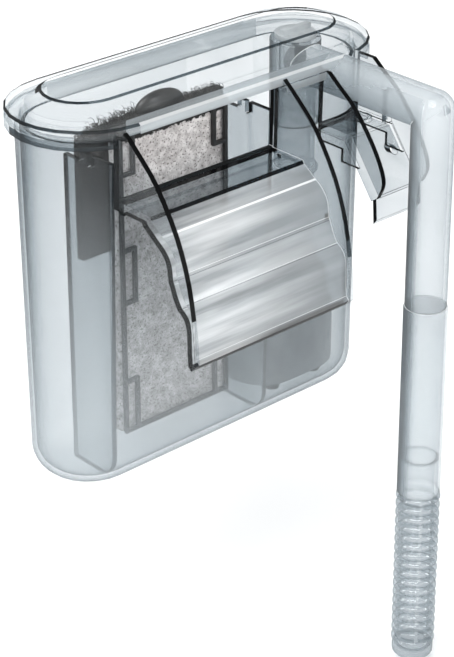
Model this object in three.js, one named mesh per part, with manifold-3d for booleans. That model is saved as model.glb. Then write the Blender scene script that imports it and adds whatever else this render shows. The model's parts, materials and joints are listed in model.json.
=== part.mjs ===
// Hang on back aquarium filter, in millimetres, +Z up.
// +X runs along the tank's long side, -Y points into the aquarium that the filter hangs on.
// The shapes are laid out from the lid's centre, at the top of the lid's rim, and the whole
// group is then moved so that the origin is where the filter sits on the aquarium's rim.
import * as THREE from 'three';
import { mergeVertices } from 'three/addons/utils/BufferGeometryUtils.js';
import Module from 'manifold-3d';

const wasm = await Module();
wasm.setup();

// ---- driving dimensions -------------------------------------------------------------------
const GAP = 0.3;                 // clearance between touching pieces
const WALL = 2.0;                // wall of the moulded tank
const PLATE = 2.2;               // cheeks, dividers and bracket plates

const LID_HALF = 53.5;           // half of the lid's straight side
const LID_RADIUS = 31.5;         // half of the lid's depth: the lid is 170 x 63
const LID_SKIRT_Z = -3.7;        // bottom of the lid's skirt
const PLATEAU_HALF = 55.3;       // raised middle of the lid
const PLATEAU_RADIUS = 16.4;
const PLATEAU_Z = 6.4;

const TANK_HALF = 54.5;          // half of the tank's straight side, at its top
const TANK_RADIUS = 27;          // half of the tank's depth, at its top
const TANK_HALF_GROWTH = 3;      // the straight side grows by this towards the bottom
const TANK_RADIUS_LOSS = 4;      // and the depth shrinks by this: the draft of the mould
const TANK_TOP = -4.0;
const TANK_BOTTOM = -156;
const TANK_FLOOR = 2.5;          // thickness of the tank's floor
const TANK_FILLET = 11;          // rounding round the tank's bottom
const FLANGE_BOTTOM = -7.4;

const MOUTH_LEFT = -60.0;        // the waterfall's mouth in the front wall
const MOUTH_RIGHT = 18.0;
const WEIR_Z = -30.5;            // top of the weir that the water runs over
const DIVIDER_TOP = -16;
const DIVIDER_BACK = 4.4;

const CHUTE_FLOOR_Z = -31;
const CHUTE_FLOOR_THICKNESS = 2.4;
const SEAT_Z = -35;              // where the filter rests on the aquarium's rim
const SEAT_Y = -29;              // middle of the seat rib

const BRACKET_LEFT = 42.5;       // pipe bracket, between its cheeks' outer faces
const BRACKET_RIGHT = 69.9;
const BRACKET_FLOOR_Z = -28.5;

const PIPE_X = 56.2;             // axis of the intake
const PIPE_Y = -76;
const PIPE_Z = -11;              // axis of the horizontal run
const PIPE_RADIUS = 8.6;
const PIPE_BORE = 6.7;
const SPIGOT_RADIUS = 8.0;       // the lower half of the upright slides inside the lower tube
const SHOULDER_Z = -95;
const SPIGOT_END_Z = -165.4;
const SLEEVE_RADIUS = 9.0;       // lower intake tube
const SLEEVE_BORE = 8.3;
const SLEEVE_END_Z = -182;
const STRAINER_END_Z = -258;
const INTAKE_BOTTOM_Z = -263;
const RING_COUNT = 17;           // rounded rings along the strainer

const PUMP_Y = 1;                // the pump and the down pipe stand on this axis
const WELL_RADIUS = 8.2;
const MOTOR_TOP = -119;
const MOTOR_BOTTOM = -148;
const MOTOR_CENTRE_X = 47.2;
const MOTOR_HALF = 9;
const MOTOR_RADIUS = 17;

const PAD_LEFT = -48.5;          // filter cartridge
const PAD_RIGHT = 6.5;
const PAD_TOP = -10.5;
const PAD_BOTTOM = -141;
const CARBON_LEFT = -59.4;       // carbon block, behind the floss
const CARBON_RIGHT = 13.3;
const CARBON_FRONT = -4.5;
const CARBON_BACK = 3.0;
const CARBON_TOP = -11.0;
const CARBON_BOTTOM = -64;
const PULL_X = -18.5;            // rounded pull on top of the carbon block
const PULL_HALF = [12.2, 3.4, 6.4];

// ---- materials ----------------------------------------------------------------------------
function plastic(name, color, roughness, opacity = 1) {
  return new THREE.MeshStandardMaterial({
    name, color, roughness, metalness: 0, opacity, transparent: opacity < 1,
  });
}
const clear = plastic('clear_plastic', 0xc3cfd4, 0.12, 0.35);
const black = plastic('black_plastic', 0x1b1c1d, 0.5);
const charcoal = plastic('motor_plastic', 0x43494d, 0.45);
const floss = plastic('white_floss', 0xd8d4d2, 0.95);
const carbon = plastic('carbon_fibre_pad', 0x17181a, 0.95);
const rubber = plastic('rubber', 0x1d1d1e, 0.8);
const ceramic = plastic('ceramic', 0xe9e6df, 0.3);
const magnet = new THREE.MeshStandardMaterial({ color: 0x3a3735, roughness: 0.6, metalness: 0.2 });
const steel = new THREE.MeshStandardMaterial({ color: 0x8d9094, roughness: 0.4, metalness: 1 });
const copper = new THREE.MeshStandardMaterial({ color: 0xa7622f, roughness: 0.4, metalness: 1 });

// ---- solids: three.js shapes in, manifold joins and cuts ------------------------------------
function signedVolume(position, index) {
  const a = new THREE.Vector3();
  const b = new THREE.Vector3();
  const c = new THREE.Vector3();
  let sum = 0;
  for (let i = 0; i < index.length; i += 3) {
    a.fromBufferAttribute(position, index[i]);
    b.fromBufferAttribute(position, index[i + 1]);
    c.fromBufferAttribute(position, index[i + 2]);
    sum += a.dot(b.cross(c)) / 6;
  }
  return sum;
}

function solid(geometry) {
  const plain = geometry.clone();
  plain.deleteAttribute('normal');
  plain.deleteAttribute('uv');
  const merged = mergeVertices(plain, 1e-4);
  const index = Array.from(merged.index.array);
  const triangles = [];
  for (let i = 0; i < index.length; i += 3) {
    const [a, b, c] = [index[i], index[i + 1], index[i + 2]];
    if (a !== b && b !== c && c !== a) triangles.push(a, b, c);
  }
  if (signedVolume(merged.attributes.position, triangles) < 0) triangles.reverse();
  return new wasm.Manifold(new wasm.Mesh({
    numProp: 3,
    vertProperties: new Float32Array(merged.attributes.position.array),
    triVerts: new Uint32Array(triangles),
  }));
}

function geometryOf(manifold) {
  const mesh = manifold.getMesh();
  const geometry = new THREE.BufferGeometry();
  geometry.setAttribute('position', new THREE.BufferAttribute(mesh.vertProperties, 3));
  geometry.setIndex(new THREE.BufferAttribute(mesh.triVerts, 1));
  geometry.computeVertexNormals();
  return geometry;
}

function join(...solids) {
  return solids.reduce((sum, item) => sum.add(item));
}

function box(x, y, z) {
  const geometry = new THREE.BoxGeometry(x[1] - x[0], y[1] - y[0], z[1] - z[0]);
  geometry.translate((x[0] + x[1]) / 2, (y[0] + y[1]) / 2, (z[0] + z[1]) / 2);
  return solid(geometry);
}

function uprightCylinder(radius, z, x = PIPE_X, y = PUMP_Y, segments = 32) {
  const geometry = new THREE.CylinderGeometry(radius, radius, z[1] - z[0], segments);
  geometry.rotateX(Math.PI / 2);
  geometry.translate(x, y, (z[0] + z[1]) / 2);
  return solid(geometry);
}

function levelCylinder(radius, y, x = PIPE_X, z = PIPE_Z, segments = 32) {
  const geometry = new THREE.CylinderGeometry(radius, radius, y[1] - y[0], segments);
  geometry.translate(x, (y[0] + y[1]) / 2, z);
  return solid(geometry);
}

function ball(radius, x, y, z) {
  const geometry = new THREE.SphereGeometry(radius, 32, 16);
  geometry.rotateX(Math.PI / 2);
  geometry.translate(x, y, z);
  return solid(geometry);
}

// profile: [radius, z] pairs that start and end on the axis, or close on themselves
function turned(profile, x = PIPE_X, y = PUMP_Y, segments = 32) {
  const points = profile.map(([r, z]) => new THREE.Vector2(r, z));
  const geometry = new THREE.LatheGeometry(points, segments);
  geometry.rotateX(Math.PI / 2);
  geometry.translate(x, y, 0);
  return solid(geometry);
}

function ringOf(outer, inner, z, x = PIPE_X, y = PUMP_Y, segments = 32) {
  const [low, high] = z;
  const profile = [[inner, low], [outer, low], [outer, high], [inner, high], [inner, low]];
  return turned(profile, x, y, segments);
}

// A plate in a Y-Z plane: outline points are [y, z], and it is as thick as x says.
function plateAcross(outline, x) {
  const shape = new THREE.Shape(outline.map(([y, z]) => new THREE.Vector2(y, z)));
  const geometry = new THREE.ExtrudeGeometry(shape, { depth: x[1] - x[0], bevelEnabled: false });
  const turn = new THREE.Matrix4().makeBasis(
    new THREE.Vector3(0, 1, 0), new THREE.Vector3(0, 0, 1), new THREE.Vector3(1, 0, 0));
  geometry.applyMatrix4(turn);
  geometry.translate(x[0], 0, 0);
  return solid(geometry);
}

function smooth(points, count) {
  const curve = new THREE.SplineCurve(points.map(([y, z]) => new THREE.Vector2(y, z)));
  return curve.getPoints(count).map((p) => [p.x, p.y]);
}

// The same line, moved inwards and down by a thickness: the far face of a bent sheet.
// It never crosses itself, because the lines that use it only run outwards and downwards.
function farFace(points, thickness) {
  return points.map(([y, z]) => [y + 0.8 * thickness, z - thickness]).reverse();
}

// A ring of points round a stadium: two half circles joined by straight sides.
function stadium(half, radius, z, steps = 12) {
  const points = [];
  for (const side of [1, -1]) {
    for (let i = 0; i <= steps; i += 1) {
      const angle = (i / steps - 0.5) * Math.PI;
      points.push([side * (half + radius * Math.cos(angle)), side * radius * Math.sin(angle), z]);
    }
  }
  return points;
}

// Skins a stack of rings and closes the first and last one.
function loft(rings) {
  const count = rings[0].length;
  const index = [];
  for (let r = 0; r < rings.length - 1; r += 1) {
    for (let i = 0; i < count; i += 1) {
      const a = r * count + i;
      const b = r * count + ((i + 1) % count);
      index.push(a, b, b + count, a, b + count, a + count);
    }
  }
  const last = (rings.length - 1) * count;
  for (let i = 1; i < count - 1; i += 1) {
    index.push(0, i + 1, i, last, last + i, last + i + 1);
  }
  const geometry = new THREE.BufferGeometry();
  geometry.setAttribute('position', new THREE.Float32BufferAttribute(rings.flat(2), 3));
  geometry.setIndex(index);
  return solid(geometry);
}

// ---- tank -----------------------------------------------------------------------------------
// The tank's outside, or its inside when inset is the wall's thickness.
function tankForm(inset, bottom, top) {
  const fillet = TANK_FILLET - inset;
  const atHeight = (z) => {
    const t = (FLANGE_BOTTOM - z) / (FLANGE_BOTTOM - TANK_BOTTOM);
    return [TANK_HALF + TANK_HALF_GROWTH * t, TANK_RADIUS - TANK_RADIUS_LOSS * t - inset];
  };
  const rings = [];
  const steps = 5;
  for (let i = 0; i <= steps; i += 1) {
    const angle = (i / steps) * (Math.PI / 2);
    const z = bottom + fillet * (1 - Math.cos(angle));
    const [half, radius] = atHeight(z);
    rings.push(stadium(half, radius - fillet * (1 - Math.sin(angle)), z));
  }
  const [half, radius] = atHeight(top);
  rings.push(stadium(half, radius, top));
  return loft(rings);
}

const tankOutside = (clearance = 0) => tankForm(-clearance, TANK_BOTTOM - clearance, TANK_TOP);
const tankInside = (clearance = 0) => tankForm(WALL + clearance,
  TANK_BOTTOM + TANK_FLOOR + clearance, TANK_TOP + 5);

function tankBody() {
  const prism = (z) => stadium(LID_HALF, LID_RADIUS, z);
  const flange = loft([prism(FLANGE_BOTTOM), prism(TANK_TOP)])
    .subtract(box([MOUTH_LEFT - PLATE - GAP, MOUTH_RIGHT + PLATE + GAP], [-40, 0], [-9, 0]))
    .subtract(box([BRACKET_LEFT - GAP, BRACKET_RIGHT + GAP], [-40, 0], [-9, 0]));
  const cordNotch = box([26, 34], [20, 40], [-7.6, 0]);
  return join(tankOutside(), flange)
    .subtract(tankInside())
    .subtract(box([MOUTH_LEFT, MOUTH_RIGHT], [-40, 0], [WEIR_Z, 0]))
    .subtract(box([BRACKET_LEFT + PLATE, BRACKET_RIGHT - PLATE], [-40, 0], [BRACKET_FLOOR_Z, 0]))
    .subtract(cordNotch);
}

// Upright plates that stand across the tank, each with a slot that a cartridge hooks over.
function divider(left) {
  const slot = box([left - 1, left + PLATE + 1], [-12.2, -10.6], [DIVIDER_TOP - 5, 0]);
  const step = box([left - 1, left + PLATE + 1], [-5.6, 20], [DIVIDER_TOP - 4, 0]);
  return box([left, left + PLATE], [-30, DIVIDER_BACK], [TANK_BOTTOM, DIVIDER_TOP])
    .intersect(tankInside(GAP))
    .subtract(slot)
    .subtract(step);
}

// ---- waterfall spillway -----------------------------------------------------------------------
// The ramp's upper line: level, a small drop, then two rounded steps with crisp corners between.
function chuteFloorLine() {
  const level = [[-20, CHUTE_FLOOR_Z], [-43.5, CHUTE_FLOOR_Z], [-44.1, CHUTE_FLOOR_Z - 1.3]];
  const first = smooth([[-50.2, -36.6], [-54.6, -39.8], [-57.3, -44.0], [-58.2, -50.4]], 12);
  const second = smooth([[-58.9, -51.4], [-60.6, -55.8], [-63.0, -59.8]], 5);
  const third = smooth([[-63.6, -60.0], [-66.7, -62.6], [-68.1, -67.0], [-68.3, -76.4]], 12);
  const lip = [[-68.7, -80.8], [-70.3, -82.3]];
  return [...level, ...first, ...second, ...third, ...lip];
}

function spillwayChute() {
  const top = chuteFloorLine();
  const under = farFace(top, CHUTE_FLOOR_THICKNESS);
  const front = smooth([
    [-31.8, -1.0], [-39.5, -7.4], [-49.5, -17.0], [-60.2, -33.6], [-66.6, -51.0],
    [-69.8, -70.0], [-70.6, -82.2],
  ], 18);
  const cheek = [...front, ...under, [-20, -4.2], [-31.8, -4.2]];
  const sheet = [...top, ...under];
  const left = MOUTH_LEFT - PLATE;
  const right = MOUTH_RIGHT + PLATE;
  const seatRib = box([left + 1, right - 1], [SEAT_Y - 1.2, SEAT_Y + 1.2],
    [SEAT_Z, CHUTE_FLOOR_Z - 1]);
  return join(
    plateAcross(sheet, [left + 1, right - 1]),
    plateAcross(cheek, [left, left + PLATE]),
    plateAcross(cheek, [right - PLATE, right]),
    seatRib,
  ).subtract(tankOutside(GAP));
}

// ---- pipe bracket ---------------------------------------------------------------------------
// A floor with a sloped plate in front, between two cheeks. A thin web under the floor and two
// short posts stiffen it, and the sloped plate has a hole for a fixing.
function pipeBracket() {
  const top = [[-15, BRACKET_FLOOR_Z], [-43.5, BRACKET_FLOOR_Z], [-59, -49.5], [-59.6, -59.5]];
  const under = farFace(top, PLATE);
  const front = smooth([
    [-31.8, -4.6], [-38.0, -9.4], [-45.3, -14.8], [-53.0, -23.6], [-58.8, -32.0],
    [-62.2, -39.0], [-62.8, -44.0], [-60.2, -49.6],
  ], 16);
  const cheek = [...front, ...under.slice(1), [-15, -4.6]];
  const web = [[-15, -29.5], [-43.0, -29.5], [-51.5, -40.5], [-39.5, -40.5], [-39.5, SEAT_Z],
    [-15, SEAT_Z]];
  const webInset = 0.5;
  const webThickness = 1.3;
  const postWidth = 3.4;
  const left = BRACKET_LEFT + PLATE;
  const right = BRACKET_RIGHT - PLATE;
  const x = [BRACKET_LEFT + 1, BRACKET_RIGHT - 1];
  const post = (inner) => box(inner, [-43.3, -41.1], [BRACKET_FLOOR_Z - 1, -15]);
  const boss = uprightCylinder(4.2, [BRACKET_FLOOR_Z - 1, BRACKET_FLOOR_Z + 1.6], 60, -34, 24)
    .subtract(uprightCylinder(2.6, [BRACKET_FLOOR_Z + 0.4, 0], 60, -34, 24));
  const fixingHole = levelCylinder(1.7, [-62, -44], 62.3, -37.4, 20);
  return join(
    plateAcross([...top, ...under], x),
    plateAcross(cheek, [BRACKET_LEFT, left]),
    plateAcross(cheek, [right, BRACKET_RIGHT]),
    plateAcross(web, [BRACKET_LEFT + webInset, BRACKET_LEFT + webInset + webThickness]),
    plateAcross(web, [BRACKET_RIGHT - webInset - webThickness, BRACKET_RIGHT - webInset]),
    post([left - 0.5, left + postWidth]),
    post([right - postWidth, right + 0.5]),
    boss,
  ).subtract(fixingHole).subtract(tankOutside(GAP));
}

// ---- lid --------------------------------------------------------------------------------------
function lid() {
  const shell = loft([
    stadium(PLATEAU_HALF, PLATEAU_RADIUS - 1.0, PLATEAU_Z),
    stadium(PLATEAU_HALF, PLATEAU_RADIUS, PLATEAU_Z - 0.7),
    stadium(PLATEAU_HALF - 0.2, PLATEAU_RADIUS + 1.6, PLATEAU_Z - 1.5),
    stadium(PLATEAU_HALF - 1.0, 25.0, 3.2),
    stadium(LID_HALF, LID_RADIUS - 0.9, 0.5),
    stadium(LID_HALF, LID_RADIUS, -0.4),
    stadium(LID_HALF, LID_RADIUS, LID_SKIRT_Z),
    stadium(LID_HALF, LID_RADIUS - 2.0, LID_SKIRT_Z),
    stadium(LID_HALF, LID_RADIUS - 2.0, -1.5),
    stadium(TANK_HALF, TANK_RADIUS - WALL - 0.7, -0.2),
    stadium(TANK_HALF, TANK_RADIUS - WALL - 0.7, -7.0),
    stadium(TANK_HALF, TANK_RADIUS - WALL - 2.2, -7.0),
    stadium(TANK_HALF, TANK_RADIUS - WALL - 2.2, 1.2),
    stadium(PLATEAU_HALF - 0.2, PLATEAU_RADIUS - 0.2, 3.4),
    stadium(PLATEAU_HALF, PLATEAU_RADIUS - 2.0, PLATEAU_Z - 2.0),
  ]);
  return shell.subtract(levelCylinder(PIPE_RADIUS + 3.2, [-40, -8]))
    .subtract(box([PIPE_X - PIPE_RADIUS - 3.2, PIPE_X + PIPE_RADIUS + 3.2], [-40, -8], [-12, PIPE_Z]));
}

// ---- filter cartridge -------------------------------------------------------------------------
// A thin black frame on the floss pad's front, with a loop at the top, middle and bottom of
// each side.
function cartridgeFrame() {
  const bar = 1.5;
  const y = [-12.8, -11.2];
  const loops = [[PAD_TOP, 19], [-60, 24], [-117.3, 23.7]];
  const hook = 7.6;
  const pieces = [
    box([PAD_LEFT, PAD_LEFT + bar], y, [PAD_BOTTOM, PAD_TOP]),
    box([PAD_RIGHT - bar, PAD_RIGHT], y, [PAD_BOTTOM, PAD_TOP]),
    box([PAD_LEFT, PAD_RIGHT], y, [PAD_BOTTOM, PAD_BOTTOM + bar]),
    box([PAD_LEFT, PAD_RIGHT], y, [PAD_TOP - bar, PAD_TOP]),
  ];
  for (const [high, length] of loops) {
    for (const x of [[PAD_LEFT, PAD_LEFT + hook], [PAD_RIGHT - hook, PAD_RIGHT]]) {
      const outer = box(x, y, [high - length, high]);
      const inner = box([x[0] + bar, x[1] - bar], [-20, 0], [high - length + bar, high - bar]);
      pieces.push(outer.subtract(inner));
    }
  }
  return join(...pieces);
}

function flossPad() {
  return box([PAD_LEFT, PAD_RIGHT], [-10.9, -5.0], [PAD_BOTTOM, PAD_TOP - 0.4]);
}

function carbonBlock() {
  return box([CARBON_LEFT, CARBON_RIGHT], [CARBON_FRONT, CARBON_BACK], [CARBON_BOTTOM, CARBON_TOP]);
}

// The upper half of a flattened ball, standing on the carbon block.
function carbonPull() {
  const foot = CARBON_TOP + GAP;
  const geometry = new THREE.SphereGeometry(1, 24, 12);
  geometry.scale(...PULL_HALF);
  geometry.translate(PULL_X, (CARBON_FRONT + CARBON_BACK) / 2, foot);
  return solid(geometry).intersect(box([PULL_X - 15, PULL_X + 15], [-10, 10], [foot, foot + 10]));
}

// ---- intake -----------------------------------------------------------------------------------
// The upright stands in the aquarium, the level run crosses the rim, and the short inner leg
// plugs over the down pipe. The regulator's round body closes the inner end.
function intakeElbow() {
  const innerEnd = -38;
  const outside = join(
    uprightCylinder(PIPE_RADIUS, [SHOULDER_Z, PIPE_Z], PIPE_X, PIPE_Y),
    uprightCylinder(SPIGOT_RADIUS, [SPIGOT_END_Z, SHOULDER_Z + 1], PIPE_X, PIPE_Y),
    ball(PIPE_RADIUS, PIPE_X, PIPE_Y, PIPE_Z),
    levelCylinder(PIPE_RADIUS, [PIPE_Y, PUMP_Y]),
    uprightCylinder(10.6, [innerEnd, -1.6]),
  );
  const bore = join(
    uprightCylinder(PIPE_BORE, [SPIGOT_END_Z - 1, PIPE_Z], PIPE_X, PIPE_Y),
    ball(PIPE_BORE, PIPE_X, PIPE_Y, PIPE_Z),
    levelCylinder(PIPE_BORE, [PIPE_Y, PUMP_Y]),
    uprightCylinder(PIPE_BORE, [-30, -3.6]),
    uprightCylinder(9.1, [innerEnd - 1, -20.4]),
    uprightCylinder(2.0, [-10, 0]),
  );
  return outside.subtract(bore);
}

function downPipe() {
  return join(
    ringOf(8.5, PIPE_BORE, [-101.7, -21]),
    ringOf(9.9, PIPE_BORE, [-60, -58]),
  );
}

function lowerTube() {
  return turned([
    [SLEEVE_BORE, SLEEVE_END_Z], [SLEEVE_RADIUS, SLEEVE_END_Z], [SLEEVE_RADIUS, SHOULDER_Z - 1.0],
    [SLEEVE_RADIUS - 0.3, SHOULDER_Z - GAP], [SLEEVE_BORE, SHOULDER_Z - GAP],
    [SLEEVE_BORE, SLEEVE_END_Z],
  ], PIPE_X, PIPE_Y);
}

// Rounded rings with slots between them, on a spigot that pushes into the lower tube.
function strainer() {
  const bore = 6.4;
  const top = SLEEVE_END_Z - GAP;
  const pitch = (top - STRAINER_END_Z) / RING_COUNT;
  const profile = [[bore, -166], [SPIGOT_RADIUS - 0.1, -166], [SPIGOT_RADIUS - 0.1, top]];
  for (let i = 0; i < RING_COUNT; i += 1) {
    const z = top - i * pitch;
    profile.push([8.8, z - 0.15 * pitch], [9.3, z - 0.4 * pitch], [8.8, z - 0.65 * pitch]);
    profile.push([8.2, z - 0.85 * pitch]);
  }
  profile.push([8.2, STRAINER_END_Z], [bore, STRAINER_END_Z], [bore, -166]);
  let body = turned(profile, PIPE_X, PIPE_Y, 16);
  for (let i = 1; i < RING_COUNT; i += 3) {
    const z = top - (i + 0.85) * pitch;
    for (let k = 0; k < 2; k += 1) {
      const slot = new THREE.BoxGeometry(24, 2.4, 1.5);
      slot.rotateZ((k * Math.PI) / 2 + 0.1);
      slot.translate(PIPE_X, PIPE_Y, z);
      body = body.subtract(solid(slot));
    }
  }
  return body;
}

function strainerCap() {
  return turned([
    [0, INTAKE_BOTTOM_Z], [7.6, INTAKE_BOTTOM_Z], [8.8, INTAKE_BOTTOM_Z + 1.4],
    [8.8, STRAINER_END_Z - GAP], [6.0, STRAINER_END_Z - GAP], [6.0, STRAINER_END_Z + 2],
    [0, STRAINER_END_Z + 2],
  ], PIPE_X, PIPE_Y, 24);
}

// Knob of the flow regulator, with a grip bar, and the stem and gate that it turns.
function flowKnob() {
  const grip = box([PIPE_X - 7.5, PIPE_X + 7.5], [PUMP_Y - 1.4, PUMP_Y + 1.4], [0, 3.2]);
  return join(uprightCylinder(8.6, [-1.2, 0.9]), grip);
}

function flowGate() {
  return join(
    uprightCylinder(1.6, [-12, -1.5], PIPE_X, PUMP_Y, 16),
    levelCylinder(5.8, [PUMP_Y - 0.7, PUMP_Y + 0.7]).intersect(
      box([PIPE_X - 7, PIPE_X + 7], [-5, 6], [-18, -5])),
  );
}

// ---- pump -------------------------------------------------------------------------------------
function motorForm(inset, z) {
  const place = (ring) => ring.map(([x, y, h]) => [x + MOTOR_CENTRE_X, y + PUMP_Y, h]);
  const radius = MOTOR_RADIUS - inset;
  return loft([place(stadium(MOTOR_HALF, radius, z[0])), place(stadium(MOTOR_HALF, radius, z[1]))]);
}

function motorHousing() {
  const place = (ring) => ring.map(([x, y, h]) => [x + MOTOR_CENTRE_X, y + PUMP_Y, h]);
  const outside = loft([
    place(stadium(MOTOR_HALF, MOTOR_RADIUS, MOTOR_BOTTOM)),
    place(stadium(MOTOR_HALF, MOTOR_RADIUS, MOTOR_TOP - 3)),
    place(stadium(MOTOR_HALF, MOTOR_RADIUS - 1, MOTOR_TOP - 0.9)),
    place(stadium(MOTOR_HALF, MOTOR_RADIUS - 3, MOTOR_TOP)),
  ]);
  const cavity = motorForm(2.2, [MOTOR_BOTTOM - 1, MOTOR_TOP - 2.6])
    .subtract(uprightCylinder(WELL_RADIUS + 1.4, [MOTOR_BOTTOM + 1.6, MOTOR_TOP]));
  return outside.subtract(cavity)
    .subtract(uprightCylinder(WELL_RADIUS, [MOTOR_BOTTOM + 3, MOTOR_TOP + 1]));
}

function motorBase() {
  return motorForm(2.5, [MOTOR_BOTTOM, MOTOR_BOTTOM + 1.3]);
}

function statorCore() {
  const z = [-140, -128];
  return join(
    box([38.5, 60], [PUMP_Y + 10.1, PUMP_Y + 13.6], z),
    box([38.5, 60], [PUMP_Y - 13.6, PUMP_Y - 10.1], z),
    box([38.5, 43], [PUMP_Y - 13.6, PUMP_Y + 13.6], z),
  );
}

function coil() {
  return box([35.2, 46], [PUMP_Y - 8.5, PUMP_Y + 8.5], [-143.2, -124.8])
    .subtract(box([38.2, 43.3], [-30, 30], [-140.3, -127.7]));
}

function rotorMagnet() {
  return ringOf(6.9, 1.9, [-142.6, -122.4], PIPE_X, PUMP_Y, 28);
}

function impeller() {
  let body = ringOf(7.4, 1.9, [-118.4, -117.0], PIPE_X, PUMP_Y, 28)
    .add(ringOf(3.4, 1.9, [-122.1, -108.6], PIPE_X, PUMP_Y, 20));
  for (let k = 0; k < 6; k += 1) {
    const blade = new THREE.BoxGeometry(6.4, 1.1, 7);
    blade.translate(6, 0, -113.9);
    blade.rotateZ((k * Math.PI) / 3);
    blade.translate(PIPE_X, PUMP_Y, 0);
    body = body.add(solid(blade));
  }
  return body;
}

function impellerShaft() {
  return uprightCylinder(1.5, [-143.6, -105.8], PIPE_X, PUMP_Y, 16);
}

function lowerBush() {
  return uprightCylinder(3.6, [-144.7, -143.0], PIPE_X, PUMP_Y, 20)
    .subtract(uprightCylinder(1.8, [-143.9, -140], PIPE_X, PUMP_Y, 16));
}

function upperBush() {
  return uprightCylinder(2.6, [-107.4, -104.6], PIPE_X, PUMP_Y, 20)
    .subtract(uprightCylinder(1.8, [-108, -105.5], PIPE_X, PUMP_Y, 16));
}

// The chamber that the impeller turns in: open below, inlet collar above, outlet to the side.
function impellerCover() {
  const shell = turned([
    [10.8, MOTOR_TOP + GAP], [14.4, MOTOR_TOP + GAP], [14.4, -106.8], [10.4, -104.8],
    [10.4, -98], [8.8, -98], [8.8, -102.0], [6.4, -102.0], [6.4, -106.6], [10.8, -108.0],
    [10.8, MOTOR_TOP + GAP],
  ]);
  const spider = join(
    box([PIPE_X - 7.5, PIPE_X + 7.5], [PUMP_Y - 0.8, PUMP_Y + 0.8], [-106.4, -104.0]),
    uprightCylinder(3.9, [-107.0, -103.4], PIPE_X, PUMP_Y, 24),
  ).subtract(uprightCylinder(2.9, [-110, -104.3], PIPE_X, PUMP_Y, 20));
  const nozzle = box([PIPE_X - 22, PIPE_X - 11.6], [PUMP_Y - 5, PUMP_Y + 5], [-118.0, -109.0]);
  const nozzleBore = box([PIPE_X - 24, PIPE_X - 9], [PUMP_Y - 3.4, PUMP_Y + 3.4], [-116.6, -110.4]);
  return join(shell, spider, nozzle).subtract(nozzleBore);
}

function cordGland() {
  const geometry = new THREE.CylinderGeometry(2.4, 3.6, 7, 20);
  geometry.rotateX(Math.PI / 2);
  geometry.translate(31, PUMP_Y + 7, MOTOR_TOP + GAP + 3.5);
  return solid(geometry);
}

function foot(x, y) {
  return uprightCylinder(3.0, [TANK_BOTTOM + TANK_FLOOR + GAP, MOTOR_BOTTOM - GAP], x, y, 16);
}

// ---- the filter -------------------------------------------------------------------------------
const filter = new THREE.Group();
filter.position.set(0, -SEAT_Y, -SEAT_Z);

function place(name, manifold, material) {
  const mesh = new THREE.Mesh(geometryOf(manifold), material);
  mesh.name = name;
  filter.add(mesh);
}

place('tank_body', tankBody(), clear);
place('left_divider', divider(MOUTH_LEFT - PLATE), clear);
place('right_divider', divider(MOUTH_RIGHT), clear);
place('spillway_chute', spillwayChute(), clear);
place('pipe_bracket', pipeBracket(), clear);
place('lid', lid(), clear);
place('cartridge_frame', cartridgeFrame(), black);
place('floss_pad', flossPad(), floss);
place('carbon_block', carbonBlock(), carbon);
place('carbon_pull', carbonPull(), carbon);
place('intake_elbow', intakeElbow(), clear);
place('lower_intake_tube', lowerTube(), clear);
place('strainer', strainer(), clear);
place('strainer_cap', strainerCap(), clear);
place('down_pipe', downPipe(), clear);
place('flow_knob', flowKnob(), charcoal);
place('flow_gate', flowGate(), charcoal);
place('impeller_cover', impellerCover(), charcoal);
place('motor_housing', motorHousing(), charcoal);
place('motor_base', motorBase(), charcoal);
place('stator_core', statorCore(), steel);
place('coil', coil(), copper);
place('rotor_magnet', rotorMagnet(), magnet);
place('impeller', impeller(), charcoal);
place('impeller_shaft', impellerShaft(), ceramic);
place('lower_bush', lowerBush(), rubber);
place('upper_bush', upperBush(), rubber);
place('cord_gland', cordGland(), rubber);
for (const [i, [x, y]] of [[36, -8], [36, 10], [60, -8], [60, 10]].entries()) {
  place(`rubber_foot_${i + 1}`, foot(x, y), rubber);
}

export default filter;
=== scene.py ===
"""Looks of the hang on back filter: clear smoky plastic, filter media, pump, studio and camera."""
import json
import math
import random

import bmesh
import bpy
from mathutils import Matrix, Vector, noise
from mathutils.bvhtree import BVHTree


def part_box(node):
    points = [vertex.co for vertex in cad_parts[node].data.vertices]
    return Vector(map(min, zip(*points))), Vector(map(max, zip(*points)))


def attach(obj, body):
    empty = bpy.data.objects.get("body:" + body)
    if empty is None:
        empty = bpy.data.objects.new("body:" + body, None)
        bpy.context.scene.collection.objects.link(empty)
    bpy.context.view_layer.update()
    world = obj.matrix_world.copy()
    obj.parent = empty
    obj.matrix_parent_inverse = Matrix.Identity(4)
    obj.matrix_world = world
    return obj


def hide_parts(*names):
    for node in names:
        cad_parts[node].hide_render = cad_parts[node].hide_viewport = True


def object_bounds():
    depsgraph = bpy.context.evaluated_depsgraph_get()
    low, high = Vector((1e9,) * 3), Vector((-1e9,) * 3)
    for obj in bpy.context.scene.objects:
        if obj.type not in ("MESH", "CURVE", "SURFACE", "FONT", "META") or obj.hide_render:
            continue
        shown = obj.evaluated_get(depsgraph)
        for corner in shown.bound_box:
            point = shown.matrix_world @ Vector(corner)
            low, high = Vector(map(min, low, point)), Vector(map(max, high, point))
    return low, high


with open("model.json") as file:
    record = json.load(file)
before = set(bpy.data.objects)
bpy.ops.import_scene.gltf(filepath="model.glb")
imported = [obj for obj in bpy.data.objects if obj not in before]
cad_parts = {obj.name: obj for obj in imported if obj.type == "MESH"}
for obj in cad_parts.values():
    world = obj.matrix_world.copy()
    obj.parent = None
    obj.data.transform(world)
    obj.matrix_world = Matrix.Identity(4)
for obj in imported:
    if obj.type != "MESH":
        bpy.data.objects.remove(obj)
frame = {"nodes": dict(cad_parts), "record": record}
cad_low, cad_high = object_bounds()
NODES = frame["nodes"]
MM = 0.001
random.seed(7)
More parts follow.
